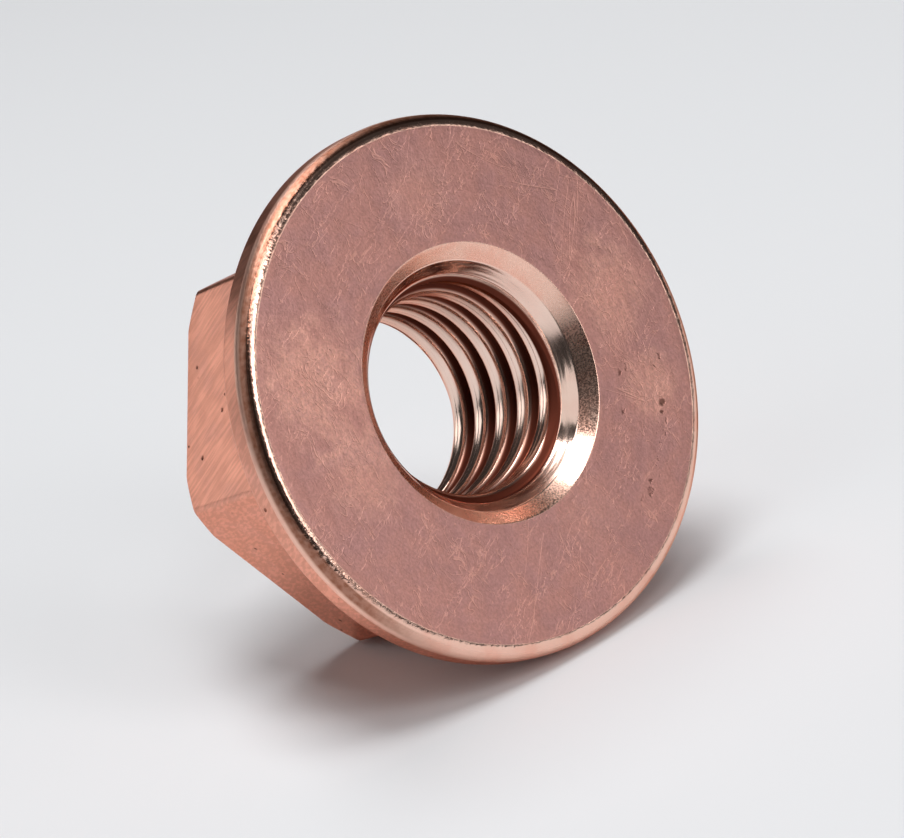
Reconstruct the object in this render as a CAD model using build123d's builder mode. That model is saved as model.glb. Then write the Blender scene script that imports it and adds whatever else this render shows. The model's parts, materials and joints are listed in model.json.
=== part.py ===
from build123d import *
from math import asin, atan2, cos, hypot, radians, sin, tan
import os

# Thread, in millimetres: the bore is left at the tapping size, where the crests stand
thread_diameter = 8.0
thread_pitch = 1.25

# Hexagon
nut_height = 7.9
across_flats = 12.8
hexagon_sides = 6
hexagon_corner_round = 0.25
end_face_diameter = 13.6
end_chamfer_angle = 45.0

# Flange
flange_diameter = 17.9
flange_edge_height = 1.2
flange_back_slope = 20.0
bearing_edge_round = 0.5
back_edge_round = 0.15
neck_round = 0.3

# Countersink in the bearing face: a wide cone, a steeper one, and a ledge where the thread starts
mouth_depth = 0.48
mouth_angle = 90.0
throat_depth = 0.49
throat_angle = 70.0
ledge_width = 0.4

# Countersink in the hexagon's end
end_mouth_diameter = 9.0
end_mouth_angle = 90.0

# Sizes that follow
bore_radius = (thread_diameter - thread_pitch) / 2
flat_distance = across_flats / 2
end_face_radius = end_face_diameter / 2
flange_radius = flange_diameter / 2
flange_back_height = nut_height - flange_edge_height
ledge_radius = bore_radius + ledge_width
throat_radius = ledge_radius + throat_depth * tan(radians(throat_angle / 2))
mouth_radius = throat_radius + mouth_depth * tan(radians(mouth_angle / 2))
ledge_height = nut_height - mouth_depth - throat_depth
end_mouth_radius = end_mouth_diameter / 2
end_mouth_depth = (end_mouth_radius - bore_radius) / tan(radians(end_mouth_angle / 2))

# The nut lies on the back edge of its flange and on the end of one flat.
# The tilt is the rise of the thread's axis: the floor passes through the end of the flat
# and touches the small round at the back of the flange.
edge_centre_radius = flange_radius - back_edge_round
edge_centre_height = flange_back_height + back_edge_round * tan(radians(45 - flange_back_slope / 2))
flat_end_radius = min(end_face_radius, flat_distance)
flat_end_height = (flat_distance - flat_end_radius) * tan(radians(end_chamfer_angle))
contact_drop = edge_centre_radius - flat_distance
contact_run = edge_centre_height - flat_end_height
tilt = atan2(contact_drop, contact_run) + asin(back_edge_round / hypot(contact_drop, contact_run))

# The floor is at height zero, and the nut's reach to both sides is centred over the origin
end_centre_height = flat_distance * cos(tilt) - flat_end_height * sin(tilt)
reach_behind = flat_end_radius * sin(tilt)
round_centre_radius = flange_radius - bearing_edge_round
round_centre_height = nut_height - bearing_edge_round
reach_ahead = round_centre_radius * sin(tilt) + round_centre_height * cos(tilt) + bearing_edge_round
end_centre = Vector((reach_behind - reach_ahead) / 2, 0, end_centre_height)

# The thread's axis runs from the hexagon's end face to the bearing face
axis_direction = Vector(cos(tilt), 0, sin(tilt))
resting_direction = Vector(sin(tilt), 0, -cos(tilt))
nut_axis = Axis(end_centre, axis_direction)
end_plane = Plane(origin=end_centre, x_dir=resting_direction, z_dir=axis_direction)
section_plane = Plane(
    origin=end_centre,
    x_dir=resting_direction,
    z_dir=resting_direction.cross(axis_direction),
)

with BuildPart() as flange_nut:
    # Hexagon, with one flat towards the floor
    with BuildSketch(end_plane) as hexagon:
        RegularPolygon(flat_distance, hexagon_sides, major_radius=False, rotation=180 / hexagon_sides)
        fillet(hexagon.vertices(), hexagon_corner_round)
    extrude(amount=flange_back_height)

    # Turned chamfer that takes the corners off at the end face
    with BuildSketch(section_plane):
        with BuildLine():
            Polyline(
                (0, 0),
                (end_face_radius, 0),
                (flange_radius, (flange_radius - end_face_radius) * tan(radians(end_chamfer_angle))),
                (flange_radius, nut_height),
                (0, nut_height),
                close=True,
            )
        make_face()
    revolve(axis=nut_axis, mode=Mode.INTERSECT)

    # Flange, flat in front and sloping down to the flats behind, with a small round in the neck
    with BuildSketch(section_plane):
        with BuildLine():
            Polyline(
                (0, nut_height),
                (flange_radius, nut_height),
                (flange_radius, flange_back_height),
                (0, flange_back_height - flange_radius * tan(radians(flange_back_slope))),
                close=True,
            )
        make_face()
    revolve(axis=nut_axis)
    fillet(flange_nut.edges(Select.NEW), neck_round)
    rim_edges = flange_nut.edges().filter_by(GeomType.CIRCLE).group_by(SortBy.RADIUS)[-1]
    fillet(rim_edges.sort_by(nut_axis)[-1], bearing_edge_round)
    rim_edges = flange_nut.edges().filter_by(GeomType.CIRCLE).group_by(SortBy.RADIUS)[-1]
    fillet(rim_edges.sort_by(nut_axis)[0], back_edge_round)

    # Bore, with the stepped mouth in the bearing face and the countersink in the end face
    with BuildSketch(section_plane):
        with BuildLine():
            Polyline(
                (0, 0),
                (end_mouth_radius, 0),
                (bore_radius, end_mouth_depth),
                (bore_radius, ledge_height),
                (ledge_radius, ledge_height),
                (throat_radius, nut_height - mouth_depth),
                (mouth_radius, nut_height),
                (0, nut_height),
                close=True,
            )
        make_face()
    revolve(axis=nut_axis, mode=Mode.SUBTRACT)

flange_nut.part.label = "flange_nut"

os.makedirs("parts", exist_ok=True)
export_step(flange_nut.part, "parts/flange_nut.step")
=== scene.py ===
"""Exhaust flange nut, lying on its flange and its hexagon on a pale floor.

The nut's skin is one closed mesh, laid out in rings round its own axis. Geometry Nodes press
the thread into the rows of the bore, and each zone of the nut gets its own copper finish.
"""

import json

import bpy
import numpy as np
from mathutils import Matrix, Vector


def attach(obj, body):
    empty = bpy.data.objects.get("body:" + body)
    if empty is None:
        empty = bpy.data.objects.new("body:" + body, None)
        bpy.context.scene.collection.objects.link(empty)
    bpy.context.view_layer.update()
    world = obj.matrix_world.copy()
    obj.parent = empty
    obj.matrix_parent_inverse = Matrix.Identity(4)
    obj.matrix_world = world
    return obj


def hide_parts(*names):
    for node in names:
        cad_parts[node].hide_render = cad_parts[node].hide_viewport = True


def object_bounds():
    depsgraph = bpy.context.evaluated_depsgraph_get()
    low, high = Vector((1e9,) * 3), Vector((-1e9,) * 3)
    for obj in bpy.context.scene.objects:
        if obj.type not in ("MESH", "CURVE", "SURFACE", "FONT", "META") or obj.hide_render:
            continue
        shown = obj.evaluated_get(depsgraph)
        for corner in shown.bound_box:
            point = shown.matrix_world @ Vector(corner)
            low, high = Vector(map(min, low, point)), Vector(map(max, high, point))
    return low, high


bl_info = {
    "name": "Exhaust flange nut",
    "version": (1, 0, 0),
    "blender": (4, 5, 0),
    "location": "3D View > Sidebar > Flange nut",
    "description": "A copper-plated exhaust flange nut with its thread, and its stage",
    "category": "Object",
}

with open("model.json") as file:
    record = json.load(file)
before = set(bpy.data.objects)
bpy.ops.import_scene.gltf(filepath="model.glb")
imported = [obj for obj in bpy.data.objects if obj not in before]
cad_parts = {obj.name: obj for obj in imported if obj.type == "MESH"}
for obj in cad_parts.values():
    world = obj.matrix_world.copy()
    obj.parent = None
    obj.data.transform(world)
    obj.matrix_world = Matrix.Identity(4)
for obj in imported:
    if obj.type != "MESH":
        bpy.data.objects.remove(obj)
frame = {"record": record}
cad_low, cad_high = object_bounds()

MM = 0.001

# Columns of the mesh round the bore and the body, and the least part of a turn between two
COLUMNS = 240
COLUMN_GAP = 0.12 / 360
# Shares of a turn from a corner of the hexagon to the closer columns beside it
BESIDE_CORNER = np.array([0.15, 0.35, 0.6, 0.85, 1.1, 1.45, 2.0]) / 360

# Radii where the flat rings of the body are stitched to those of the bore, at both faces
END_SEAM, END_BODY_SEAM = 5.2 * MM, 5.4 * MM
BEARING_SEAM, BEARING_BODY_SEAM = 5.5 * MM, 5.6 * MM
# Small rounds on the edges of the chamfer, the countersinks and the ledge
END_FACE_ROUND, CHAMFER_ROUND = 0.025 * MM, 0.05 * MM
MOUTH_ROUND, STEP_ROUND = 0.05 * MM, 0.03 * MM
LEDGE_OUTER_ROUND, LEDGE_INNER_ROUND = 0.008 * MM, 0.05 * MM
# Points this close count as level with each other
LEVEL = 1e-7

# Phases of a thread's turn that carry a row of the mesh, from the front edge of a land
THREAD_ROWS = (
    0.0, 0.02, 0.045, 0.075, 0.11, 0.15, 0.19, 0.225, 0.25, 0.266, 0.28, 0.294, 0.31, 0.335,
    0.37, 0.41, 0.45, 0.49, 0.525, 0.555, 0.58, 0.605, 0.635, 0.665, 0.695, 0.725, 0.755, 0.78,
    0.8, 0.82, 0.84, 0.86, 0.88, 0.9, 0.92, 0.94, 0.96, 0.98,
)
# Whole turns that hold rows, and the least share of the pitch between a row and a level ring
ROW_TURNS = range(-2, 9)
ROW_GAP = 0.0045
# The level rings: this far below the ledge, and this far above the hexagon's end
BELOW_LEDGE = 0.07 * MM
ABOVE_END = 0.3 * MM
# The ledge's painted shade fades out this far below the upper ring
LEDGE_FADE = 0.2 * MM
# The thread leaves alone what is this close to the ledge's outer edge, or to its level
LEDGE_SIDE_MARGIN, LEDGE_LEVEL_MARGIN = 0.03 * MM, 0.1 * MM
# How softly the grooves run into the plain wall
GROOVE_BLEND = 0.03 * MM
# From this share of a groove's depth, a point is no longer on a land
LAND_DEPTH = 0.2
# The turn's profile: phase, and share of the thread's depth
THREAD_PROFILE = (
    (0.0, 0.2), (0.05, 0.09), (0.12, 0.03), (0.2, 0.0), (0.265, 0.0), (0.28, 0.035), (0.295, 0.0),
    (0.36, 0.005), (0.45, 0.04), (0.53, 0.12), (0.6, 0.26), (0.68, 0.55), (0.76, 0.9), (0.81, 1.0),
    (0.86, 0.93), (0.93, 0.58), (1.0, 0.2),
)
# Phase from the bottom of a groove to the front edge of the next land
GROOVE_SIDE = 0.19

# Lighter patches on the bearing face: place in the nut's own millimetres, reach and strength
FACE_PATCHES = (
    ((-0.8, 6.2, 7.9), 2.2, 0.65),
    ((2.7, 6.2, 7.9), 1.4, 0.75),
    ((-2.5, -6.0, 7.9), 2.6, 0.85),
    ((0.6, -5.6, 7.9), 2.0, 0.55),
    ((5.2, 1.5, 7.9), 1.6, 0.2),
    ((-6.4, 0.8, 7.9), 1.6, 0.25),
)
# Scratches on the bearing face: curled or straight, turn, number per mm, stretch, width and cover
FACE_SCRATCHES = (
    (False, 0.7, 1.6, 16.0, 0.008, 0.57),
    (False, 2.2, 2.3, 12.0, 0.009, 0.57),
    (True, 1.4, 5.0, 5.0, 0.03, 0.5),
    (False, 2.7, 6.0, 4.0, 0.03, 0.52),
)
# Arcs of the bearing face with scattered pits: radius, and the cosines where each ends
PITTED_ARCS = ((7.2, 0.08, 0.86), (5.7, 0.2, 0.56), (7.3, -0.16, -0.1))

# Where the finishes change, in millimetres from the axis: each ramp's start and end
EDGE_STARTS = (8.3, 8.5)
OUTER_CONE_STARTS = (4.1, 4.16)
INNER_CONE_STARTS, INNER_CONE_ENDS = (3.76, 3.8), (4.15, 4.1)
# The painted dark reflection on the edge round lies between these radii
DARK_REFLECTION_STARTS, DARK_REFLECTION_ENDS = (8.64, 8.7), (8.94, 8.88)
ROUGH_EDGE_STARTS = (8.7, 8.82)
BACK_EDGE_HIGHLIGHT_STARTS = (8.8, 8.86)
# The same for the painted highlight on the flange's back edge by depth, and for the painted dark
# reflection on the edge round by the cosine of its turn, which keeps it off the part that faces
# the floor
BACK_EDGE_HIGHLIGHT_DEPTH = (1.08, 1.16)
DARK_REFLECTION_TURN = (0.85, 0.45)

# Tint of the copper where the light grazes it
GRAZING_TINT = (0.9, 0.52, 0.42, 1)

# The soft lights: place, aim, width, height and radiance
SOFT_BOXES = {
    "top_light": ((0.0, -0.01, 0.33), (0.0, 0.0, 0.0), 0.14, 0.14, 9.2),
    "main_light": ((0.16, -0.035, 0.285), (0.0, 0.0, 0.005), 0.1, 0.1, 4.4),
    "back_light": ((-0.14, 0.05, 0.28), (0.0, 0.0, 0.005), 0.12, 0.12, 5.8),
    "front_card": ((0.298, 0.05, 0.13), (0.0, 0.0, 0.005), 0.1, 0.15, 2.7),
    "right_card": ((0.245, 0.185, 0.09), (0.0, 0.0, 0.005), 0.1, 0.1, 1.2),
    "left_card": ((-0.36, -0.14, 0.06), (0.0, 0.0, 0.01), 0.15, 0.1, 1.4),
    "edge_strip": ((0.25, 0.04, 0.22), (0.0, 0.0, 0.01), 0.06, 0.12, 4.0),
    "left_light": ((-0.02, -0.26, 0.2), (0.0, 0.0, 0.0), 0.18, 0.3, 0.75),
}

# Finish of a face
SATIN, DULL, BRIGHT = 0, 1, 2


def length(name, description, default):
    """A length that a user can change, in metres, given here in millimetres."""
    return bpy.props.FloatProperty(
        name=name,
        description=description,
        default=default * MM,
        min=0,
        precision=5,
        subtype="DISTANCE",
        unit="LENGTH",
    )


def share(name, description, default):
    """A share from 0 to 1."""
    return bpy.props.FloatProperty(
        name=name, description=description, default=default, min=0, max=1, subtype="FACTOR"
    )


def colour(name, description, default):
    """A linear colour, with its fourth number at one."""
    return bpy.props.FloatVectorProperty(
        name=name,
        description=description,
        default=(*default, 1.0),
        size=4,
        min=0,
        max=1,
        subtype="COLOR",
    )


def degrees(name, description, default):
    """An angle, given here in degrees."""
    return bpy.props.FloatProperty(
        name=name,
        description=description,
        default=np.radians(default),
        subtype="ANGLE",
        unit="ROTATION",
    )


def position(name, description, default):
    """A place in the row's frame, in metres."""
    return bpy.props.FloatVectorProperty(
        name=name,
        description=description,
        default=default,
        size=3,
        precision=5,
        subtype="TRANSLATION",
        unit="LENGTH",
    )


class NutSizes(bpy.types.PropertyGroup):
    """Sizes of the nut's body."""

    height: length("Height", "From the hexagon's end face to the bearing face", 7.9)
    across_flats: length("Across flats", "Width of the hexagon", 12.8)
    corner_round: length("Corner round", "Radius of the hexagon's upright edges", 0.25)
    end_face: length("End face", "Diameter of the hexagon's end face, inside the chamfer", 13.6)
    edge_break: length("Edge break", "Width of the break on the ends of the flats", 0.07)
    end_chamfer: degrees("End chamfer", "Slope of the chamfer at the hexagon's end", 45)
    flange: length("Flange", "Diameter of the flange", (cad_high.y - cad_low.y) / MM)
    flange_edge: length("Flange edge", "Height of the flange at its edge", 1.2)
    back_slope: degrees("Back slope", "Slope of the flange's back", 20)
    front_round: length("Front round", "Radius of the flange's edge at the bearing face", 0.5)
    back_round: length("Back round", "Radius of the flange's edge at its back", 0.15)
    neck_round: length("Neck round", "Radius where the hexagon meets the flange", 0.3)
    mouth: length("Mouth", "Diameter of the countersink in the bearing face", 9.196)
    mouth_depth: length("Mouth depth", "Depth of the countersink's outer cone", 0.48)
    throat: length("Throat", "Diameter of the inner cone at its outer edge", 8.236)
    ledge: length("Ledge", "Diameter of the inner cone at the ledge", 7.55)
    ledge_depth: length("Ledge depth", "Depth of the ledge where the thread starts", 0.97)
    bore: length("Bore", "Diameter at the crests of the thread", 6.75)
    end_mouth: length("End mouth", "Diameter of the countersink in the hexagon's end", 9.0)
    end_mouth_depth: length("End mouth depth", "Depth of the end's countersink", 1.125)


class ThreadSizes(bpy.types.PropertyGroup):
    """Sizes of the thread."""

    pitch: length("Pitch", "Rise of the thread in one turn", 1.25)
    depth: length("Depth", "Depth of the grooves below the crests", 0.38)
    first_land: length("First land", "From the bearing face to the first land", 1.3)
    ridge_starts: bpy.props.FloatProperty(
        name="Ridge starts",
        description="Turns along the helix where the first ridge begins",
        default=-0.62,
    )
    ridge_is_full: bpy.props.FloatProperty(
        name="Ridge is full",
        description="Turns along the helix where the first ridge has its full height",
        default=-0.3,
    )
    end_fade: length("End fade", "Depth below the bearing face where the grooves run out", 7.2)


class CopperLooks(bpy.types.PropertyGroup):
    """Colours and gloss of the copper plate."""

    plate: colour("Plate", "Colour of the satin plate", (0.88, 0.43, 0.32))
    dull_plate: colour("Dull plate", "Colour of the bearing face", (0.64, 0.33, 0.3))
    warm_plate: colour("Warm plate", "Colour of the lighter patches", (0.95, 0.5, 0.4))
    bright_plate: colour("Bright plate", "Colour of the mouth and the thread", (0.94, 0.6, 0.48))
    # Besides the lands, this lightens the inner cone and paints the highlight line on the flange's
    # back edge
    crest: colour("Crest", "Colour of the burnished lands of the thread", (0.98, 0.8, 0.7))
    # Painted shade: this dark colour at the bottom of the grooves and on the ledge stands in for
    # the shade in them
    root: colour("Root", "Colour at the bottom of the thread's grooves", (0.12, 0.03, 0.018))
    # Painted dark reflection: a dark band on the edge round that stands in for the dark
    # surroundings it mirrors
    dark_reflection: colour("Dark_reflection", "Colour of the dark band on the edge round", (0.32, 0.13, 0.08))
    tarnish: colour("Tarnish", "Colour of the pits and the dark marks", (0.12, 0.045, 0.03))
    satin_roughness: share("Satin roughness", "Roughness of the hexagon and the rim", 0.34)
    dull_roughness: share("Dull roughness", "Roughness of the bearing face", 0.46)
    bright_roughness: share("Bright roughness", "Roughness of the mouth and the thread", 0.16)


class StageLooks(bpy.types.PropertyGroup):
    """Floor, surroundings and camera."""

    floor: colour("Floor", "Colour of the floor", (0.78, 0.79, 0.81))
    floor_roughness: share("Floor roughness", "Roughness of the floor", 0.8)
    surroundings: share("Surroundings", "Strength of the light from all round", 0.035)
    lens: bpy.props.FloatProperty(
        name="Lens",
        description="Focal length of the camera",
        default=138.45,
        subtype="DISTANCE_CAMERA",
    )
    camera_place: position("Camera place", "Where it stands", (0.0837156, -0.0660605, 0.0480826))
    camera_aim: position("Camera aim", "Where it looks", (0.0009967, 0.0002893, 0.0069908))
    camera_roll: degrees("Camera roll", "Turn of the camera about its line of sight", -12.075)


def settings(context, name):
    """The scene's property group of that name."""
    return getattr(context.scene, name)


# The nut's own frame


def lying_frame(height):
    """The end face's middle, and the directions towards the floor, across and along the axis."""
    mounts = {mount["name"]: mount for mount in frame["record"]["mounts"]}
    along = Vector(mounts["bearing_face"]["axis"]).normalized()
    bore_middle = Vector(mounts["thread"]["pos_m"])
    face_point = Vector(mounts["bearing_face"]["pos_m"])
    face_centre = bore_middle + along * (face_point - bore_middle).dot(along)
    floorwards = Vector((along.z, 0, -along.x)).normalized()
    across = along.cross(floorwards)
    return face_centre - along * height, floorwards, across, along


# Meshing


def rounded_rows(corners, rounds, arc_steps, span_steps):
    """Rows of points along an open profile with rounded corners, for every column at once.

    corners is (corner, column, 2). Each inner corner has a radius and a number of steps on its
    arc, and each span between corners a number of steps. The result is (row, column, 2).
    """
    rows = [corners[0]]
    for k in range(1, len(corners)):
        entry = corner = corners[k]
        arc = []
        if rounds[k]:
            incoming = unit(corner - corners[k - 1])
            outgoing = unit(corners[k + 1] - corner)
            turn = np.arccos(np.clip((incoming * outgoing).sum(1, keepdims=True), -1, 1))
            reach = rounds[k] * np.tan(turn / 2)
            centre = corner + unit(outgoing - incoming) * rounds[k] / np.cos(turn / 2)
            entry, leave = corner - incoming * reach, corner + outgoing * reach
            for s in np.linspace(0, 1, arc_steps[k] + 1)[1:]:
                near, far = np.sin((1 - s) * turn), np.sin(s * turn)
                spoke = (near * (entry - centre) + far * (leave - centre)) / np.sin(turn)
                arc.append(centre + spoke)
        start = rows[-1]
        span = np.linspace(0, 1, span_steps[k - 1] + 1)[1:]
        rows += [start + (entry - start) * s for s in span] + arc
    return np.array(rows)


def unit(vectors):
    """The vectors, one to a row, at length one."""
    return vectors / np.linalg.norm(vectors, axis=1, keepdims=True)


class Skin:
    """A mesh that grows ring by ring, with the values that the nodes read at each point."""

    def __init__(self):
        self.points = []
        self.faces = []
        self.finishes = []

    def add(self, turn, radius, depth):
        """Adds points by turn, radius and depth below the bearing face: their numbers."""
        turn, radius, depth = np.broadcast_arrays(turn, radius, depth)
        start = len(self.points)
        self.points += list(zip(turn.ravel(), radius.ravel(), depth.ravel()))
        return np.arange(start, len(self.points))

    def band(self, near, far, finish):
        """Joins two rings with the same columns."""
        for i in range(len(near)):
            j = (i + 1) % len(near)
            self.faces.append((near[i], near[j], far[j], far[i]))
            self.finishes.append(finish)

    def stitch(self, near, near_turns, far, far_turns, finish):
        """Joins two rings with different columns by triangles."""
        i = j = 0
        count_i, count_j = len(near), len(far)
        while i < count_i or j < count_j:
            next_i = near_turns[i + 1] if i + 1 < count_i else near_turns[0] + 1
            next_j = far_turns[j + 1] if j + 1 < count_j else far_turns[0] + 1
            a, b = near[i % count_i], far[j % count_j]
            if j >= count_j or (i < count_i and next_i <= next_j):
                self.faces.append((a, near[(i + 1) % count_i], b))
                i += 1
            else:
                self.faces.append((a, far[(j + 1) % count_j], b))
                j += 1
            self.finishes.append(finish)


def body_columns():
    """Turns of the body's columns: even ones, and close ones at the hexagon's upright edges."""
    even = np.arange(COLUMNS) / COLUMNS
    beside = np.concatenate([-BESIDE_CORNER, [0.0], BESIDE_CORNER])
    corner_turns = (np.arange(6) + 0.5) / 6
    close = (corner_turns[:, None] + beside[None]).ravel()
    turns = np.unique(np.round(np.concatenate([even, close]) % 1, 7))
    keep = np.ones(len(turns), bool)
    for k in range(1, len(turns)):
        if turns[k] - turns[np.flatnonzero(keep[:k])[-1]] < COLUMN_GAP:
            keep[k] = False
    return turns[keep]


def corner_columns(turns, *corners):
    """A profile's corners, each a radius and a depth, for every column: (corner, column, 2)."""
    even = np.ones_like(turns)
    return np.array([np.stack((even * radius, even * depth), 1) for radius, depth in corners])


def hexagon_reach(turns, sizes):
    """Distance from the axis to the hexagon's side at each turn, with its rounded edges."""
    flat = sizes.across_flats / 2
    from_flat = (turns * 6 + 0.5) % 1 - 0.5
    angle = from_flat * np.pi / 3
    reach = flat / np.cos(angle)
    corner_distance = (flat - sizes.corner_round) / np.cos(np.pi / 6)
    from_corner = np.pi / 6 - np.abs(angle)
    inside = corner_distance * np.sin(from_corner)
    outside = np.sqrt(np.maximum(sizes.corner_round**2 - inside**2, 0))
    rounded = corner_distance * np.cos(from_corner) + outside
    tangent_angle = np.arctan2(
        sizes.corner_round * np.sin(np.pi / 6),
        corner_distance + sizes.corner_round * np.cos(np.pi / 6),
    )
    return np.where(from_corner < tangent_angle, rounded, reach)


def body_rows(turns, sizes):
    """Rows of the body from the end face over the hexagon and the flange to the bearing face."""
    hexagon = hexagon_reach(turns, sizes)
    height, flange = sizes.height, sizes.flange / 2
    chamfer = np.maximum(hexagon - sizes.end_face / 2, sizes.edge_break)
    end_face = hexagon - chamfer
    chamfer_depth = height - chamfer * np.tan(sizes.end_chamfer)
    back_depth = sizes.flange_edge + (flange - hexagon) * np.tan(sizes.back_slope)
    corners = corner_columns(
        turns,
        (END_BODY_SEAM, height),
        (end_face, height),
        (hexagon, chamfer_depth),
        (hexagon, back_depth),
        (flange, sizes.flange_edge),
        (flange, 0),
        (BEARING_BODY_SEAM, 0),
    )
    edges = [sizes.neck_round, sizes.back_round, sizes.front_round]
    rounds = [0, END_FACE_ROUND, CHAMFER_ROUND, *edges, 0]
    return rounded_rows(corners, rounds, [0, 2, 3, 5, 4, 12, 0], [4, 2, 9, 8, 4, 10])


def bearing_row(rows):
    """Number of the first row that lies on the flat of the bearing face."""
    flat = np.all(rows[:, :, 1] < LEVEL, axis=1)
    return int(np.flatnonzero(flat)[0])


def front_round_row(rows, sizes):
    """Number of the row where the flange's rim turns into the round at the bearing face."""
    rim = np.all(rows[:, :, 0] > sizes.flange / 2 - LEVEL, axis=1)
    return int(np.flatnonzero(rim)[-1])


def nut_skin(sizes, thread):
    """The closed skin of the nut, with a plain bore whose rows follow the thread."""
    skin = Skin()
    turns = body_columns()
    rows = body_rows(turns, sizes)
    face_start, round_start = bearing_row(rows), front_round_row(rows, sizes)
    rings = [skin.add(turns, row[:, 0], row[:, 1]) for row in rows]
    for k in range(len(rings) - 1):
        finish = DULL if k >= face_start else BRIGHT if k >= round_start else SATIN
        skin.band(rings[k], rings[k + 1], finish)

    # From the bearing face into the mouth, down both cones to the ledge
    bore_turns = np.arange(COLUMNS) / COLUMNS
    corners = corner_columns(
        bore_turns,
        (BEARING_SEAM, 0),
        (sizes.mouth / 2, 0),
        (sizes.throat / 2, sizes.mouth_depth),
        (sizes.ledge / 2, sizes.ledge_depth),
        (sizes.bore / 2, sizes.ledge_depth),
        (sizes.bore / 2, sizes.ledge_depth + BELOW_LEDGE),
    )
    rounds = [0, MOUTH_ROUND, STEP_ROUND, LEDGE_OUTER_ROUND, LEDGE_INNER_ROUND, 0]
    face_steps = 6
    mouth_rows = rounded_rows(corners, rounds, [0, 4, 3, 2, 4, 0], [face_steps, 6, 5, 1, 1])
    mouth_rings = [skin.add(bore_turns, row[:, 0], row[:, 1]) for row in mouth_rows]
    skin.stitch(rings[-1], turns, mouth_rings[0], bore_turns, DULL)
    for k in range(len(mouth_rings) - 1):
        skin.band(mouth_rings[k], mouth_rings[k + 1], DULL if k < face_steps else BRIGHT)

    # The bore: its rows run along the thread, and are cut off level at both ends
    top_ring, top_depth = mouth_rings[-1], mouth_rows[-1][0, 1]
    bottom_depth = sizes.height - ABOVE_END
    bottom_radius = wall_radius(bottom_depth, sizes)
    bottom_ring = skin.add(bore_turns, bottom_radius, bottom_depth)
    rows_per_turn = len(THREAD_ROWS)
    least = ROW_GAP * thread.pitch
    columns = []
    for turn in bore_turns:
        numbers, depths = [], []
        for whole in ROW_TURNS:
            for k, phase in enumerate(THREAD_ROWS):
                depth = thread.first_land + thread.pitch * (whole + phase - turn)
                if top_depth + least < depth < bottom_depth - least:
                    numbers.append(whole * rows_per_turn + k)
                    depths.append(depth)
        depths = np.array(depths)
        points = skin.add(turn, wall_radius(depths, sizes), depths)
        columns.append(dict(zip(numbers, points)))
    for i, column in enumerate(columns):
        j = (i + 1) % len(columns)
        shift = rows_per_turn if j == 0 else 0
        beside = {number + shift: point for number, point in columns[j].items()}
        both = sorted(set(column) & set(beside))
        first, last = both[0], both[-1]
        above = [column[n] for n in sorted(column) if n < first]
        above_beside = [beside[n] for n in sorted(beside) if n < first]
        below = [column[n] for n in sorted(column) if n > last]
        below_beside = [beside[n] for n in sorted(beside) if n > last]
        level = [top_ring[i], top_ring[j]]
        faces = [[*level, *above_beside, beside[first], column[first], *reversed(above)]]
        for n, following in zip(both, both[1:]):
            faces.append([column[n], beside[n], beside[following], column[following]])
        level = [bottom_ring[j], bottom_ring[i]]
        faces.append([column[last], beside[last], *below_beside, *level, *reversed(below)])
        skin.faces += faces
        skin.finishes += [BRIGHT] * len(faces)

    # Countersink at the hexagon's end, and on to the end face
    corners = corner_columns(
        bore_turns,
        (bottom_radius, bottom_depth),
        (sizes.end_mouth / 2, sizes.height),
        (END_SEAM, sizes.height),
    )
    cone_steps = 3
    end_rows = rounded_rows(corners, [0, MOUTH_ROUND, 0], [0, 4, 0], [cone_steps, 3])[1:]
    end_rings = [bottom_ring] + [skin.add(bore_turns, row[:, 0], row[:, 1]) for row in end_rows]
    for k in range(len(end_rings) - 1):
        skin.band(end_rings[k], end_rings[k + 1], BRIGHT if k < cone_steps else SATIN)
    skin.stitch(end_rings[-1], bore_turns, rings[0], turns, SATIN)
    return skin


def wall_radius(depth, sizes):
    """Radius of the plain bore and the end's countersink, at a depth below the bearing face."""
    along = [sizes.ledge_depth, sizes.height - sizes.end_mouth_depth, sizes.height]
    radii = [sizes.bore / 2, sizes.bore / 2, sizes.end_mouth / 2]
    return np.interp(depth, along, radii)


def skin_object(name, skin, sizes):
    """A mesh object of the skin in the row's frame, with what the nodes read at each point."""
    centre, floorwards, across, along = lying_frame(sizes.height)
    turn, radius, depth = np.array(skin.points).T
    angle = turn * 2 * np.pi
    radial = np.cos(angle)[:, None] * np.array(floorwards)
    radial += np.sin(angle)[:, None] * np.array(across)
    up_the_axis = (sizes.height - depth)[:, None] * np.array(along)
    points = np.array(centre) + radial * radius[:, None] + up_the_axis
    # The points that the thread may move: the ledge's inner part, and all behind it
    behind_ledge = depth > sizes.ledge_depth + LEDGE_LEVEL_MARGIN
    behind_ledge &= radius < sizes.end_mouth / 2
    bore = (radius < sizes.ledge / 2 - LEDGE_SIDE_MARGIN) | behind_ledge
    mesh = bpy.data.meshes.new(name)
    mesh.from_pydata(points.tolist(), [], [[int(v) for v in f] for f in skin.faces])
    for label, values in (("turn", turn), ("depth", depth), ("wall", radius), ("bore", bore)):
        held = mesh.attributes.new(label, "FLOAT", "POINT")
        held.data.foreach_set("value", values.astype(np.float32))
    held = mesh.attributes.new("radial", "FLOAT_VECTOR", "POINT")
    held.data.foreach_set("vector", radial.astype(np.float32).ravel())
    held = mesh.attributes.new("finish", "INT", "FACE")
    held.data.foreach_set("value", np.array(skin.finishes, np.int32))
    mesh.shade_smooth()
    mesh.validate()
    shape = bpy.data.objects.new(name, mesh)
    bpy.context.scene.collection.objects.link(shape)
    return shape


# Geometry Nodes


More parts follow.
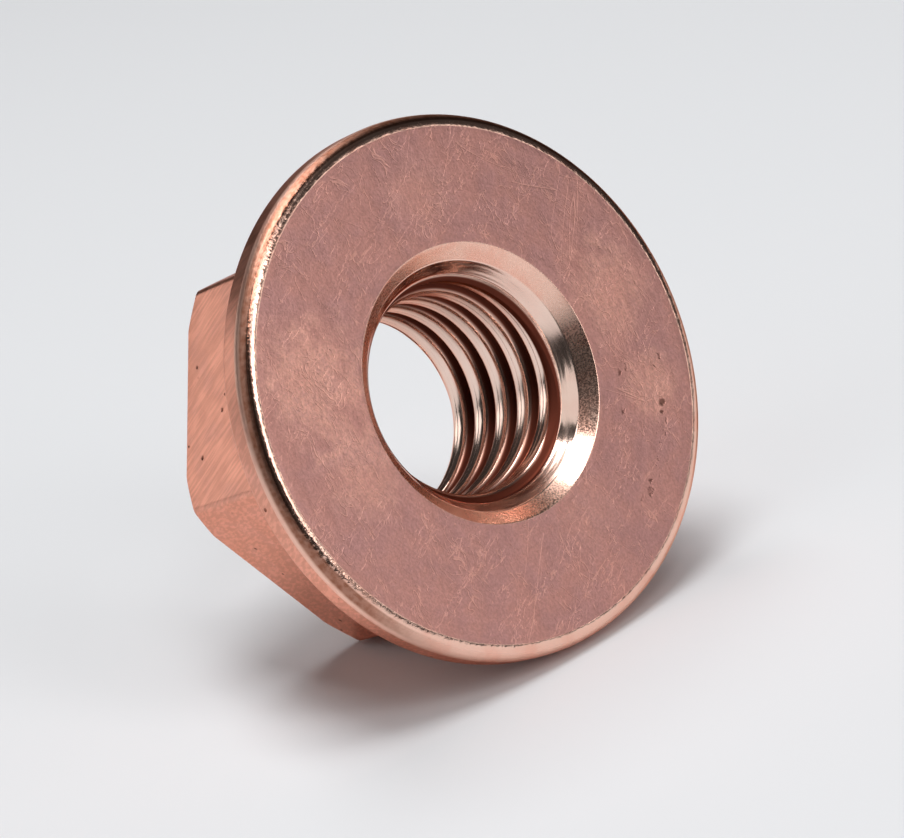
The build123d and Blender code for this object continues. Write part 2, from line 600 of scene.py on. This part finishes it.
class Tree:
    """Short calls to place and join nodes in a node tree."""

    def __init__(self, tree):
        self.tree = tree

    def node(self, kind, inputs=(), **fields):
        """A node with its fields set, and its inputs joined to sockets or given values."""
        made = self.tree.nodes.new(kind)
        for field, value in fields.items():
            setattr(made, field, value)
        for key, value in dict(inputs).items():
            if isinstance(value, bpy.types.NodeSocket):
                self.join(value, made.inputs[key])
            else:
                made.inputs[key].default_value = value
        return made

    def join(self, value, socket):
        """Joins a value to a socket."""
        self.tree.links.new(value, socket)

    def maths(self, operation, *values):
        """The output of a Math node."""
        return self.node("ShaderNodeMath", enumerate(values), operation=operation).outputs[0]

    def product(self, first, *others):
        """All the values multiplied."""
        for other in others:
            first = self.maths("MULTIPLY", first, other)
        return first

    def rest(self, value):
        """What the value leaves of one."""
        return self.maths("SUBTRACT", 1.0, value)

    def ramp(self, value, low, high, to_low=0.0, to_high=1.0):
        """The value, eased from to_low at low to to_high at high."""
        sockets = {"Value": value, "From Min": low, "From Max": high}
        sockets |= {"To Min": to_low, "To Max": to_high}
        eased = self.node("ShaderNodeMapRange", sockets, interpolation_type="SMOOTHSTEP")
        return eased.outputs["Result"]

    def mixed(self, amount, first, second):
        """The colour between first and second by that amount."""
        sockets = {0: amount, 6: first, 7: second}
        return self.node("ShaderNodeMix", sockets, data_type="RGBA").outputs[2]

    def noise(self, spot, scale, detail=2.0, roughness=0.5):
        """The outputs of a noise: Fac and Color."""
        sockets = {"Vector": spot, "Scale": scale, "Detail": detail, "Roughness": roughness}
        return self.node("ShaderNodeTexNoise", sockets).outputs

    def stirred(self, spot, scale, reach):
        """The spot, moved about by a noise."""
        sockets = {0: self.noise(spot, scale)["Color"], 1: (reach, reach, reach), 2: spot}
        moved = self.node("ShaderNodeVectorMath", sockets, operation="MULTIPLY_ADD")
        return moved.outputs["Vector"]

    def grouped(self, tree, inputs):
        """The outputs of a shared group."""
        return self.node("ShaderNodeGroup", inputs, node_tree=tree).outputs


def thread_tree(thread, sizes, materials):
    """Presses the thread into the bore's points along their radial, and sets each finish."""
    tree = bpy.data.node_groups.new("Cut thread", "GeometryNodeTree")
    face = tree.interface
    face.new_socket("Geometry", in_out="INPUT", socket_type="NodeSocketGeometry")
    for label, default, subtype in (
        ("Pitch", thread.pitch, "DISTANCE"),
        ("Crest radius", sizes.bore / 2, "DISTANCE"),
        ("Groove depth", thread.depth, "DISTANCE"),
        ("First land", thread.first_land, "DISTANCE"),
        ("Ledge depth", sizes.ledge_depth + BELOW_LEDGE, "DISTANCE"),
        ("End fade", thread.end_fade, "DISTANCE"),
        ("Blend", GROOVE_BLEND, "DISTANCE"),
        ("Ridge starts", thread.ridge_starts, "NONE"),
        ("Ridge is full", thread.ridge_is_full, "NONE"),
    ):
        socket = face.new_socket(label, in_out="INPUT", socket_type="NodeSocketFloat")
        socket.default_value = default
        socket.subtype = subtype
    face.new_socket("Geometry", in_out="OUTPUT", socket_type="NodeSocketGeometry")
    at = Tree(tree)
    given = at.node("NodeGroupInput").outputs

    def attribute(label, kind="FLOAT"):
        named = at.node("GeometryNodeInputNamedAttribute", {"Name": label}, data_type=kind)
        return named.outputs["Attribute"]

    depth, wall = attribute("depth"), attribute("wall")
    in_turns = at.maths("DIVIDE", at.maths("SUBTRACT", depth, given["First land"]), given["Pitch"])
    turned = at.maths("ADD", in_turns, attribute("turn"))
    phase = at.maths("FRACT", turned)
    ridge_number = at.maths("FLOOR", at.maths("ADD", turned, GROOVE_SIDE))
    along_ridge = at.maths("SUBTRACT", ridge_number, attribute("turn"))
    grown = at.ramp(along_ridge, given["Ridge starts"], given["Ridge is full"])
    profile = at.node("ShaderNodeFloatCurve", {"Value": phase})
    curve = profile.mapping.curves[0]
    while len(curve.points) < len(THREAD_PROFILE):
        curve.points.new(0.5, 0.5)
    for point, (x, y) in zip(curve.points, THREAD_PROFILE):
        point.location = (x, y)
        point.handle_type = "AUTO_CLAMPED"
    profile.mapping.update()

    # How far each point is pressed in, as a share of the groove's depth
    faded = at.maths("ADD", given["End fade"], given["Pitch"])
    at_end = at.rest(at.ramp(depth, given["End fade"], faded))
    ridge = at.product(at.rest(profile.outputs["Value"]), grown)
    pressed_in = at.product(at.rest(ridge), at_end)
    cut = at.maths("ADD", given["Crest radius"], at.product(pressed_in, given["Groove depth"]))
    radius = at.maths("SMOOTH_MAX", wall, cut, given["Blend"])
    move = at.maths("SUBTRACT", radius, wall)
    sockets = {0: attribute("radial", "FLOAT_VECTOR"), "Scale": move}
    offset = at.node("ShaderNodeVectorMath", sockets, operation="SCALE").outputs["Vector"]
    sockets = {0: attribute("bore"), 1: 0.5}
    in_bore = at.node("FunctionNodeCompare", sockets, operation="GREATER_THAN").outputs[0]
    sockets = {"Geometry": given["Geometry"], "Selection": in_bore, "Offset": offset}
    shaped = at.node("GeometryNodeSetPosition", sockets).outputs["Geometry"]

    # What the finish reads: how far a point is down a groove, which also carries the painted shade
    # on the ledge, and whether it is on a land
    root_radius = at.maths("ADD", given["Crest radius"], given["Groove depth"])
    sockets = {"Value": wall, "From Min": given["Crest radius"], "From Max": root_radius}
    sockets |= {"To Min": 1.0, "To Max": 0.0}
    stands_out = at.node("ShaderNodeMapRange", sockets).outputs["Result"]
    off_land = at.maths("MINIMUM", 1.0, at.product(pressed_in, 1 / LAND_DEPTH))
    ledge_end = at.maths("ADD", given["Ledge depth"], LEDGE_FADE)
    on_ledge = at.ramp(depth, ledge_end, given["Ledge depth"])
    groove = at.maths("MAXIMUM", at.maths("DIVIDE", move, given["Groove depth"]), on_ledge)
    land = at.product(at.rest(off_land), stands_out, at.rest(on_ledge))
    for label, value in (("groove", groove), ("land", land)):
        value = at.product(value, attribute("bore"))
        sockets = {"Geometry": shaped, "Name": label, "Value": value}
        shaped = at.node("GeometryNodeStoreNamedAttribute", sockets).outputs["Geometry"]
    shaped = at.node("GeometryNodeRealizeInstances", {"Geometry": shaped}).outputs["Geometry"]
    for finish, material in materials.items():
        sockets = {2: attribute("finish", "INT"), 3: finish}
        chosen = at.node("FunctionNodeCompare", sockets, data_type="INT", operation="EQUAL")
        sockets = {"Geometry": shaped, "Selection": chosen.outputs[0], "Material": material}
        shaped = at.node("GeometryNodeSetMaterial", sockets).outputs["Geometry"]
    at.node("NodeGroupOutput", {"Geometry": shaped})
    return tree


def made_plain(shape, tree):
    """Gives the object the tree's result as its own plain mesh."""
    modifier = shape.modifiers.new("Thread", "NODES")
    modifier.node_group = tree
    for socket in tree.interface.items_tree:
        if socket.in_out == "INPUT" and socket.socket_type == "NodeSocketFloat":
            modifier[socket.identifier] = socket.default_value
    bpy.context.view_layer.update()
    evaluated = shape.evaluated_get(bpy.context.evaluated_depsgraph_get())
    plain = bpy.data.meshes.new_from_object(evaluated)
    shape.modifiers.remove(modifier)
    old = shape.data
    shape.data = plain
    bpy.data.meshes.remove(old)
    plain.name = shape.name


# Materials: effects that several finishes share


def shader_group(name, inputs, outputs):
    """An empty shader group with its sockets: its tree, and what it is given."""
    tree = bpy.data.node_groups.new(name, "ShaderNodeTree")
    for label, kind, default in inputs:
        socket = tree.interface.new_socket(label, in_out="INPUT", socket_type="NodeSocket" + kind)
        if default is not None:
            socket.default_value = default
    for label in outputs:
        tree.interface.new_socket(label, in_out="OUTPUT", socket_type="NodeSocketFloat")
    at = Tree(tree)
    return at, at.node("NodeGroupInput").outputs


def round_the_axis(height):
    """Group: a point's radius, depth below the bearing face, and sine and cosine of its turn."""
    at, given = shader_group(
        "Round the axis",
        (("Vector", "Vector", None), ("Height", "Float", height / MM)),
        ("Radius", "Depth", "Cosine", "Sine"),
    )
    parts = at.node("ShaderNodeSeparateXYZ", {0: given["Vector"]}).outputs
    squares = at.maths("ADD", at.product(parts[0], parts[0]), at.product(parts[1], parts[1]))
    radius = at.maths("SQRT", squares)
    at.node(
        "NodeGroupOutput",
        {
            "Radius": radius,
            "Depth": at.maths("SUBTRACT", given["Height"], parts[2]),
            "Cosine": at.maths("DIVIDE", parts[0], radius),
            "Sine": at.maths("DIVIDE", parts[1], radius),
        },
    )
    return at.tree


def turned_lines():
    """Group: fine lines that a tool leaves round the axis."""
    at, given = shader_group(
        "Turned lines",
        (
            ("Radius", "Float", 0), ("Depth", "Float", 0), ("Cosine", "Float", 1),
            ("Sine", "Float", 0), ("Lines per mm", "Float", 8), ("Waver", "Float", 0.5),
        ),
        ("Height",),
    )
    across = at.product(at.maths("ADD", given["Radius"], given["Depth"]), given["Lines per mm"])
    waver = [at.product(given[side], given["Waver"]) for side in ("Cosine", "Sine")]
    spot = at.node("ShaderNodeCombineXYZ", {0: across, 1: waver[0], 2: waver[1]}).outputs[0]
    at.node("NodeGroupOutput", {"Height": at.noise(spot, 1.0)["Fac"]})
    return at.tree


def scratches():
    """Group: thin straight scratches along one direction, here and there."""
    at, given = shader_group(
        "Scratches",
        (
            ("Vector", "Vector", None), ("Turn", "Float", 0), ("Per mm", "Float", 2),
            ("Stretch", "Float", 14), ("Width", "Float", 0.012), ("Cover", "Float", 0.5),
        ),
        ("Mask",),
    )
    sockets = {"Vector": given["Vector"], "Angle": given["Turn"]}
    turned = at.node("ShaderNodeVectorRotate", sockets, rotation_type="Z_AXIS").outputs[0]
    parts = at.node("ShaderNodeSeparateXYZ", {0: turned}).outputs
    fine, coarse, deep = (at.product(part, given["Per mm"]) for part in parts)
    coarse = at.maths("DIVIDE", coarse, given["Stretch"])
    spot = at.node("ShaderNodeCombineXYZ", {0: fine, 1: coarse, 2: deep}).outputs[0]
    # A scratch lies where the noise crosses its middle, and only in some places
    away = at.maths("ABSOLUTE", at.maths("SUBTRACT", at.noise(spot, 1.0, 1.5)["Fac"], 0.5))
    line = at.ramp(away, given["Width"], 0.0)
    where = at.noise(spot, 0.37, 1.0)["Fac"]
    here = at.ramp(where, given["Cover"], at.maths("ADD", given["Cover"], 0.08))
    at.node("NodeGroupOutput", {"Mask": at.product(line, here)})
    return at.tree


def pits():
    """Group: small round pits of mixed sizes, scattered."""
    at, given = shader_group(
        "Pits",
        (
            ("Vector", "Vector", None), ("Per mm", "Float", 2), ("Size", "Float", 0.2),
            ("Cover", "Float", 0.5),
        ),
        ("Mask",),
    )
    cells = at.node("ShaderNodeTexVoronoi", {"Vector": given["Vector"], "Scale": given["Per mm"]})
    chance = at.node("ShaderNodeSeparateXYZ", {0: cells.outputs["Color"]}).outputs
    size = at.product(given["Size"], at.maths("ADD", 0.35, chance[1]))
    bowl = at.ramp(cells.outputs["Distance"], size, at.product(size, 0.4))
    here = at.maths("LESS_THAN", chance[0], given["Cover"])
    at.node("NodeGroupOutput", {"Mask": at.product(bowl, here)})
    return at.tree


def mark():
    """Group: one soft round mark at a place on the nut."""
    at, given = shader_group(
        "Mark",
        (
            ("Vector", "Vector", None), ("Place", "Vector", None), ("Reach", "Float", 1),
            ("Ragged", "Float", 0.3),
        ),
        ("Mask",),
    )
    rough = at.maths("SUBTRACT", at.noise(given["Vector"], 1.6, 3.0)["Fac"], 0.5)
    sockets = {0: given["Vector"], 1: given["Place"]}
    far = at.node("ShaderNodeVectorMath", sockets, operation="DISTANCE").outputs["Value"]
    far = at.maths("DIVIDE", far, given["Reach"])
    shaken = at.maths("ADD", far, at.product(rough, given["Ragged"]))
    at.node("NodeGroupOutput", {"Mask": at.ramp(shaken, 1.0, 0.35)})
    return at.tree


class Effects:
    """The shared groups, each built once."""

    def __init__(self, sizes):
        self.round_the_axis = round_the_axis(sizes.height)
        self.turned_lines = turned_lines()
        self.scratches = scratches()
        self.pits = pits()
        self.mark = mark()


# Materials: the finishes


def started(name, sizes, effects):
    """A metal: its tree, its shader, the nut's own millimetres and the place round the axis."""
    material = bpy.data.materials.new(name)
    material.use_nodes = True
    at = Tree(material.node_tree)
    shader = at.tree.nodes["Principled BSDF"]
    shader.inputs["Metallic"].default_value = 1
    shader.inputs["Specular Tint"].default_value = GRAZING_TINT
    centre, floorwards, across, along = lying_frame(sizes.height)
    to_nut = Matrix((floorwards, across, along))
    spot = at.node(
        "ShaderNodeMapping",
        {
            "Vector": at.node("ShaderNodeTexCoord").outputs["Object"],
            "Location": to_nut @ centre / -MM,
            "Rotation": to_nut.to_euler("XYZ"),
            "Scale": (1 / MM, 1 / MM, 1 / MM),
        },
    ).outputs["Vector"]
    return material, at, shader, spot, at.grouped(effects.round_the_axis, {"Vector": spot})


def finished(at, shader, base, rough, layers):
    """Joins colour, roughness and bump layers, each a height and a distance in millimetres."""
    at.join(base, shader.inputs["Base Color"])
    at.join(rough, shader.inputs["Roughness"])
    normal = {}
    for height, distance in layers:
        sockets = {"Height": height, "Distance": distance * MM, "Strength": 1.0}
        normal = {"Normal": at.node("ShaderNodeBump", sockets | normal).outputs["Normal"]}
    at.join(normal["Normal"], shader.inputs["Normal"])


def dull_copper(looks, sizes, effects):
    """The turned bearing face: rose copper, scratched and stained."""
    material, at, shader, spot, ring = started("dull_copper", sizes, effects)
    grain = at.noise(spot, 11.0, 3.0)["Fac"]
    cloud = at.noise(spot, 0.8, 6.0, roughness=0.62)["Fac"]
    speckled = at.ramp(at.noise(spot, 4.5, 5.0, roughness=0.75)["Fac"], 0.35, 0.62, 0.45, 1.25)
    sockets = {side: ring[side] for side in ("Radius", "Cosine", "Sine")}
    sockets |= {"Lines per mm": 6.0, "Waver": 3.5}
    arcs = at.grouped(effects.turned_lines, sockets)["Height"]

    curled = at.stirred(spot, 0.5, 1.6)
    scratch = 0.0
    for is_curled, turn, per_mm, stretch, width, cover in FACE_SCRATCHES:
        sockets = {"Vector": curled if is_curled else spot, "Turn": turn, "Per mm": per_mm}
        sockets |= {"Stretch": stretch, "Width": width, "Cover": cover}
        scratch = at.maths("MAXIMUM", scratch, at.grouped(effects.scratches, sockets)["Mask"])

    # Pits in three arcs at one side of the face
    sockets = {"Vector": at.stirred(spot, 5.0, 0.3), "Per mm": 2.4, "Size": 0.44, "Cover": 0.9}
    dents = at.grouped(effects.pits, sockets)["Mask"]
    zone = 0.0
    for radius, low, high in PITTED_ARCS:
        off = at.maths("ABSOLUTE", at.maths("SUBTRACT", ring["Radius"], radius))
        here = at.product(
            at.ramp(off, 0.24, 0.1),
            at.ramp(ring["Cosine"], low - 0.04, low),
            at.ramp(ring["Cosine"], high + 0.04, high),
            at.maths("GREATER_THAN", ring["Sine"], 0.0),
        )
        zone = at.maths("MAXIMUM", zone, here)
    dents = at.product(dents, zone)

    cloudy = at.ramp(cloud, 0.36, 0.62, 0.0, 0.25)
    base = at.mixed(cloudy, looks.dull_plate, looks.plate)
    for place, reach, amount in FACE_PATCHES:
        sockets = {"Vector": spot, "Place": place, "Reach": reach, "Ragged": 1.2}
        patch = at.product(at.grouped(effects.mark, sockets)["Mask"], speckled, amount)
        base = at.mixed(patch, base, looks.warm_plate)
    base = at.mixed(at.ramp(arcs, 0.35, 0.6, 0.05, 0.0), base, looks.tarnish)
    base = at.mixed(at.ramp(grain, 0.35, 0.65, 0.16, 0.0), base, looks.tarnish)
    base = at.mixed(at.product(scratch, 0.45), base, looks.warm_plate)
    base = at.mixed(at.product(dents, 0.75), base, looks.tarnish)
    rough = at.ramp(cloud, 0.3, 0.7, looks.dull_roughness - 0.05, looks.dull_roughness + 0.07)
    layers = ((grain, 0.006), (arcs, 0.006), (cloud, 0.05), (scratch, -0.005), (dents, -0.04))
    finished(at, shader, base, rough, layers)
    return material


def satin_copper(looks, sizes, effects):
    """The hexagon, the flange's back and its rim: satin copper with fine slanting brush marks, and
    a painted highlight along the back edge of the rim.
    """
    material, at, shader, spot, ring = started("satin_copper", sizes, effects)
    grain = at.noise(spot, 16.0)["Fac"]
    cloud = at.noise(spot, 1.1, 4.0)["Fac"]
    sockets = {"Vector": spot, "Axis": (0.5, 0.866, 0.0), "Angle": 0.55}
    slanted = at.node("ShaderNodeVectorRotate", sockets, rotation_type="AXIS_ANGLE").outputs[0]
    sockets = {"Vector": slanted, "Scale": (9.0, 9.0, 0.7)}
    brushed = at.node("ShaderNodeMapping", sockets).outputs["Vector"]
    strokes = at.noise(brushed, 1.0)["Fac"]
    sockets = {"Vector": spot, "Per mm": 2.6, "Size": 0.2, "Cover": 0.12}
    specks = at.grouped(effects.pits, sockets)["Mask"]
    back_edge_highlight = at.product(
        at.ramp(ring["Radius"], *BACK_EDGE_HIGHLIGHT_STARTS), at.ramp(ring["Depth"], *BACK_EDGE_HIGHLIGHT_DEPTH)
    )

    cloudy = at.ramp(cloud, 0.45, 0.65, 0.0, 0.4)
    base = at.mixed(cloudy, looks.plate, looks.warm_plate)
    base = at.mixed(at.ramp(strokes, 0.4, 0.65, 0.2, 0.0), base, looks.tarnish)
    base = at.mixed(at.product(specks, 0.8), base, looks.tarnish)
    # Painted highlight: a lighter line along the flange's back edge
    base = at.mixed(at.product(back_edge_highlight, 0.4), base, looks.crest)
    rough = at.ramp(cloud, 0.3, 0.7, looks.satin_roughness - 0.02, looks.satin_roughness + 0.04)
    layers = ((grain, 0.004), (strokes, 0.004), (specks, -0.03))
    finished(at, shader, base, rough, layers)
    return material


def bright_copper(looks, sizes, effects):
    """The edge round, countersinks and thread: bright and turned, with painted shade in the
    grooves and on the ledge, and a painted dark reflection on the edge round.
    """
    material, at, shader, spot, ring = started("bright_copper", sizes, effects)
    grain = at.noise(spot, 18.0)["Fac"]
    cloud = at.noise(spot, 1.3, 4.0)["Fac"]
    blotch = at.noise(spot, 5.5, 3.0)["Fac"]
    sockets = {side: ring[side] for side in ("Radius", "Depth", "Cosine", "Sine")}
    sockets |= {"Lines per mm": 9.0, "Waver": 1.2}
    lines = at.grouped(effects.turned_lines, sockets)["Height"]
    groove = at.node("ShaderNodeAttribute", attribute_name="groove").outputs["Fac"]
    land = at.node("ShaderNodeAttribute", attribute_name="land").outputs["Fac"]

    radius = ring["Radius"]
    on_edge = at.ramp(radius, *EDGE_STARTS)
    on_outer_cone = at.product(at.ramp(radius, *OUTER_CONE_STARTS), at.rest(on_edge))
    on_inner_cone = at.product(
        at.ramp(radius, *INNER_CONE_STARTS), at.ramp(radius, *INNER_CONE_ENDS)
    )
    # Painted dark reflection on the outer part of the edge round: at its top and sides, not where
    # it faces the floor, mottled by the blotch
    dark_reflection_mask = at.product(
        at.ramp(radius, *DARK_REFLECTION_STARTS),
        at.ramp(radius, *DARK_REFLECTION_ENDS),
        at.ramp(ring["Cosine"], *DARK_REFLECTION_TURN),
        at.ramp(blotch, 0.3, 0.65, 1.0, 0.8),
    )

    cloudy = at.ramp(cloud, 0.42, 0.68, 0.0, 0.5)
    base = at.mixed(cloudy, looks.bright_plate, looks.plate)
    base = at.mixed(at.product(land, 0.8), base, looks.crest)
    base = at.mixed(at.product(on_inner_cone, 0.55), base, looks.crest)
    # Painted shade down the grooves and on the ledge
    base = at.mixed(at.ramp(groove, 0.06, 0.45), base, looks.root)
    base = at.mixed(dark_reflection_mask, base, looks.dark_reflection)
    rough = at.ramp(lines, 0.3, 0.7, looks.bright_roughness - 0.05, looks.bright_roughness + 0.08)
    for rougher in (
        at.ramp(groove, 0.1, 0.6, 0.0, 0.35),
        at.product(on_outer_cone, at.ramp(grain, 0.35, 0.65, 0.04, 0.16)),
        at.ramp(radius, *ROUGH_EDGE_STARTS, 0.0, 0.24),
    ):
        rough = at.maths("ADD", rough, rougher)
    line_height = at.product(lines, at.maths("ADD", 0.4, at.product(on_inner_cone, 1.8)))
    grain_height = at.product(grain, at.maths("ADD", 0.3, at.product(on_outer_cone, 0.35)))
    uneven = at.product(blotch, on_edge)
    layers = ((grain_height, 0.003), (line_height, 0.01), (uneven, 0.014))
    finished(at, shader, base, rough, layers)
    return material


class EXHAUSTNUT_OT_flange_nut(bpy.types.Operator):
    """Make the nut, with its thread and its copper finishes"""

    bl_idname = "exhaust_nut.flange_nut"
    bl_label = "Flange nut"

    def execute(self, context):
        sizes, thread = settings(context, "nut_sizes"), settings(context, "thread_sizes")
        looks = settings(context, "copper_looks")
        effects = Effects(sizes)
        materials = {
            SATIN: satin_copper(looks, sizes, effects),
            DULL: dull_copper(looks, sizes, effects),
            BRIGHT: bright_copper(looks, sizes, effects),
        }
        nut = skin_object("threaded_flange_nut", nut_skin(sizes, thread), sizes)
        made_plain(nut, thread_tree(thread, sizes, materials))
        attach(nut, "root")
        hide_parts("flange_nut")
        return {"FINISHED"}


class EXHAUSTNUT_OT_stage(bpy.types.Operator):
    """Make the floor, the light and the camera"""

    bl_idname = "exhaust_nut.stage"
    bl_label = "Stage"

    def execute(self, context):
        looks = settings(context, "stage_looks")
        scene = context.scene
        scene.view_settings.view_transform = "Standard"

        floor_mesh = bpy.data.meshes.new("floor")
        two_metres_square = [(-1, -1, 0), (1, -1, 0), (1, 1, 0), (-1, 1, 0)]
        floor_mesh.from_pydata(two_metres_square, [], [(0, 1, 2, 3)])
        floor = bpy.data.objects.new("floor", floor_mesh)
        scene.collection.objects.link(floor)
        paint = bpy.data.materials.new("pale_floor")
        paint.use_nodes = True
        shader = paint.node_tree.nodes["Principled BSDF"]
        shader.inputs["Base Color"].default_value = looks.floor
        shader.inputs["Roughness"].default_value = looks.floor_roughness
        floor_mesh.materials.append(paint)

        for name, values in SOFT_BOXES.items():
            soft_box(name, *values)

        world = bpy.data.worlds.new("studio")
        world.use_nodes = True
        background = world.node_tree.nodes["Background"]
        background.inputs["Color"].default_value = (1, 1, 1, 1)
        background.inputs["Strength"].default_value = looks.surroundings
        scene.world = world

        lens = bpy.data.cameras.new("camera")
        lens.lens = looks.lens
        lens.sensor_width = 36
        lens.clip_start, lens.clip_end = 0.005, 10
        camera = bpy.data.objects.new("camera", lens)
        scene.collection.objects.link(camera)
        place, aim = Vector(looks.camera_place), Vector(looks.camera_aim)
        turn = (aim - place).to_track_quat("-Z", "Y").to_matrix()
        turn = turn @ Matrix.Rotation(looks.camera_roll, 3, "Z")
        camera.matrix_world = Matrix.Translation(place) @ turn.to_4x4()
        scene.camera = camera
        return {"FINISHED"}


def soft_box(name, place, aim, width, height, radiance):
    """Adds a rectangular area light whose face has that radiance."""
    light = bpy.data.lights.new(name, "AREA")
    light.shape = "RECTANGLE"
    light.size, light.size_y = width, height
    light.energy = radiance * np.pi * width * height
    lamp = bpy.data.objects.new(name, light)
    lamp.location = place
    lamp.rotation_mode = "QUATERNION"
    lamp.rotation_quaternion = (Vector(aim) - Vector(place)).to_track_quat("-Z", "Y")
    bpy.context.scene.collection.objects.link(lamp)


class EXHAUSTNUT_PT_panel(bpy.types.Panel):
    """Sizes and colours of the nut"""

    bl_idname = "EXHAUSTNUT_PT_panel"
    bl_label = "Flange nut"
    bl_space_type = "VIEW_3D"
    bl_region_type = "UI"
    bl_category = "Flange nut"

    def draw(self, context):
        layout = self.layout
        for name, (title, _) in GROUPS.items():
            box = layout.box()
            box.label(text=title)
            held = settings(context, name)
            for prop in held.bl_rna.properties:
                if prop.identifier not in ("rna_type", "name"):
                    box.prop(held, prop.identifier)
        layout.operator(EXHAUSTNUT_OT_flange_nut.bl_idname)
        layout.operator(EXHAUSTNUT_OT_stage.bl_idname)


# The scene's property groups: title in the panel, and class
GROUPS = {
    "nut_sizes": ("Nut", NutSizes),
    "thread_sizes": ("Thread", ThreadSizes),
    "copper_looks": ("Copper", CopperLooks),
    "stage_looks": ("Stage", StageLooks),
}
GROUP_CLASSES = tuple(kind for _, kind in GROUPS.values())
CLASSES = (*GROUP_CLASSES, EXHAUSTNUT_OT_flange_nut, EXHAUSTNUT_OT_stage, EXHAUSTNUT_PT_panel)


def register():
    for made in CLASSES:
        bpy.utils.register_class(made)
    for name, (_, kind) in GROUPS.items():
        setattr(bpy.types.Scene, name, bpy.props.PointerProperty(type=kind))


def unregister():
    for name in GROUPS:
        delattr(bpy.types.Scene, name)
    for made in reversed(CLASSES):
        bpy.utils.unregister_class(made)


def main():
    """Makes the nut and its stage."""
    register()
    bpy.ops.exhaust_nut.flange_nut()
    bpy.ops.exhaust_nut.stage()


if __name__ == "__main__":
    main()
